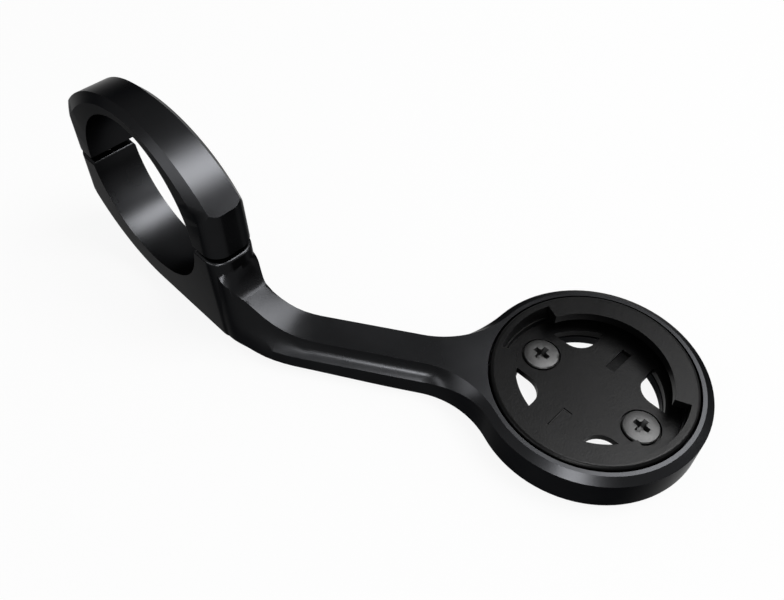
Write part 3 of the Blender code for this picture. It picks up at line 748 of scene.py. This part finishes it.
def seen_directly(nodes, links):
    """One for rays from the camera, a reflection or glass, and none for soft light."""
    path = add_node(nodes, "ShaderNodeLightPath", (-900, 300))
    first = add_node(nodes, "ShaderNodeMath", (-700, 300), operation="MAXIMUM")
    second = add_node(nodes, "ShaderNodeMath", (-520, 300), operation="MAXIMUM")
    links.new(path.outputs["Is Camera Ray"], first.inputs[0])
    links.new(path.outputs["Is Glossy Ray"], first.inputs[1])
    links.new(first.outputs[0], second.inputs[0])
    links.new(path.outputs["Is Transmission Ray"], second.inputs[1])
    return second.outputs[0]


def floor_material(colour):
    """White floor that keeps a soft shadow and stays white where it is seen."""
    material, shader, nodes, links = new_material("studio_floor")
    shader.inputs["Base Color"].default_value = colour
    shader.inputs["Roughness"].default_value = 0.9
    shader.inputs["Specular IOR Level"].default_value = 0.0
    glow = add_node(nodes, "ShaderNodeEmission", (0, -200), Color=grey(1.0), Strength=1.0)
    share = add_node(nodes, "ShaderNodeMath", (-320, 100), operation="MULTIPLY")
    links.new(seen_directly(nodes, links), share.inputs[0])
    share.inputs[1].default_value = FLOOR_GLOW_SHARE
    both = add_node(nodes, "ShaderNodeMixShader", (250, 0))
    links.new(share.outputs[0], both.inputs[0])
    links.new(shader.outputs[0], both.inputs[1])
    links.new(glow.outputs[0], both.inputs[2])
    links.new(both.outputs[0], nodes["Material Output"].inputs["Surface"])
    return material


def add_world():
    """White surroundings, dimmer where they only give soft light."""
    world = bpy.data.worlds.new("studio")
    bpy.context.scene.world = world
    world.use_nodes = True
    nodes, links = world.node_tree.nodes, world.node_tree.links
    background = nodes["Background"]
    background.inputs["Color"].default_value = grey(1.0)
    strength = add_node(nodes, "ShaderNodeMapRange", (-300, 0))
    strength.inputs["To Min"].default_value = SOFT_LIGHT_STRENGTH
    strength.inputs["To Max"].default_value = 1.0
    links.new(seen_directly(nodes, links), strength.inputs["Value"])
    links.new(strength.outputs["Result"], background.inputs["Strength"])


def soft_box(name, target, direction, distance, size, radiance, **seen_by):
    """Area lamp that faces a point of the object from a direction."""
    back = Vector(direction).normalized()
    light = bpy.data.lights.new(name, "AREA")
    light.shape = "RECTANGLE"
    light.size, light.size_y = size
    light.energy = radiance * 4.0 * size[0] * size[1]
    lamp = bpy.data.objects.new(name, light)
    lamp.location = Vector(target) + back * distance
    lamp.rotation_mode = "QUATERNION"
    lamp.rotation_quaternion = back.to_track_quat("Z", "Y")
    for kind, seen in seen_by.items():
        setattr(lamp, kind, seen)
    bpy.context.scene.collection.objects.link(lamp)


def add_lamps():
    """One lamp gives the plain light, and the soft boxes show only as reflections."""
    clamp, nose, flute = (0.0, -0.012, 0.008), (0.0, -0.024, -0.005), (0.01, -0.05, -0.016)
    ring = (0.015, -0.085, -0.014)
    soft_box("plain_box", ring, (0.35, -0.25, 0.9), 0.60, (0.35, 0.35), 4.9, visible_glossy=False)
    # Each has the point it lights, the direction to it, its distance, size and radiance
    for name, *settings in (
            ("crown_box", clamp, (0.31, -0.28, 0.91), 0.30, (0.09, 0.13), 46.0),
            ("front_box", clamp, (0.60, -0.25, 0.75), 0.34, (0.16, 0.15), 19.0),
            ("nose_strip", nose, (0.57, -0.66, 0.48), 0.16, (0.03, 0.07), 26.0),
            ("ring_box", ring, (-0.56, -0.35, 0.75), 0.34, (0.10, 0.14), 44.0),
            ("left_box", clamp, (-0.92, 0.15, 0.20), 0.34, (0.22, 0.14), 8.0),
            ("low_box", flute, (-0.86, -0.46, 0.20), 0.34, (0.08, 0.06), 60.0)):
        soft_box(name, *settings, visible_diffuse=False)


def add_camera():
    """Camera at the photograph's place, angle and lens."""
    data = bpy.data.cameras.new("photo_camera")
    data.sensor_width = SENSOR_WIDTH
    data.lens = CAMERA_LENS
    data.clip_start, data.clip_end = CLIP_RANGE
    camera = bpy.data.objects.new("photo_camera", data)
    turn = Matrix((CAMERA_RIGHT, CAMERA_UP, CAMERA_BACK)).transposed().to_4x4()
    camera.matrix_world = Matrix.Translation(CAMERA_PLACE) @ turn
    bpy.context.scene.collection.objects.link(camera)
    bpy.context.scene.camera = camera


class MOUNT_PT_looks(bpy.types.Panel):
    """Sidebar panel with the sizes, the colours and a button for each step."""

    bl_label = "Computer mount"
    bl_space_type = "VIEW_3D"
    bl_region_type = "UI"
    bl_category = "Mount"

    def draw(self, context):
        layout = self.layout
        for group in (context.scene.mount_sizes, context.scene.mount_colours):
            for name in group.__annotations__:
                layout.prop(group, name)
        for operator in OPERATORS:
            layout.operator(operator.bl_idname)


GROUPS = (MountSizes, MountColours)
OPERATORS = (
    MOUNT_OT_dress_arm, MOUNT_OT_dress_strap, MOUNT_OT_dress_seat,
    MOUNT_OT_model_screws, MOUNT_OT_model_bolts, MOUNT_OT_add_stage,
)


def register():
    for cls in GROUPS + OPERATORS + (MOUNT_PT_looks,):
        bpy.utils.register_class(cls)
    bpy.types.Scene.mount_sizes = PointerProperty(type=MountSizes)
    bpy.types.Scene.mount_colours = PointerProperty(type=MountColours)


def unregister():
    del bpy.types.Scene.mount_colours
    del bpy.types.Scene.mount_sizes
    for cls in reversed(GROUPS + OPERATORS + (MOUNT_PT_looks,)):
        bpy.utils.unregister_class(cls)


def main():
    register()
    bpy.ops.mount.dress_arm()
    bpy.ops.mount.dress_strap()
    bpy.ops.mount.dress_seat()
    bpy.ops.mount.model_screws()
    bpy.ops.mount.model_bolts()
    bpy.ops.mount.add_stage()


if __name__ == "__main__":
    main()
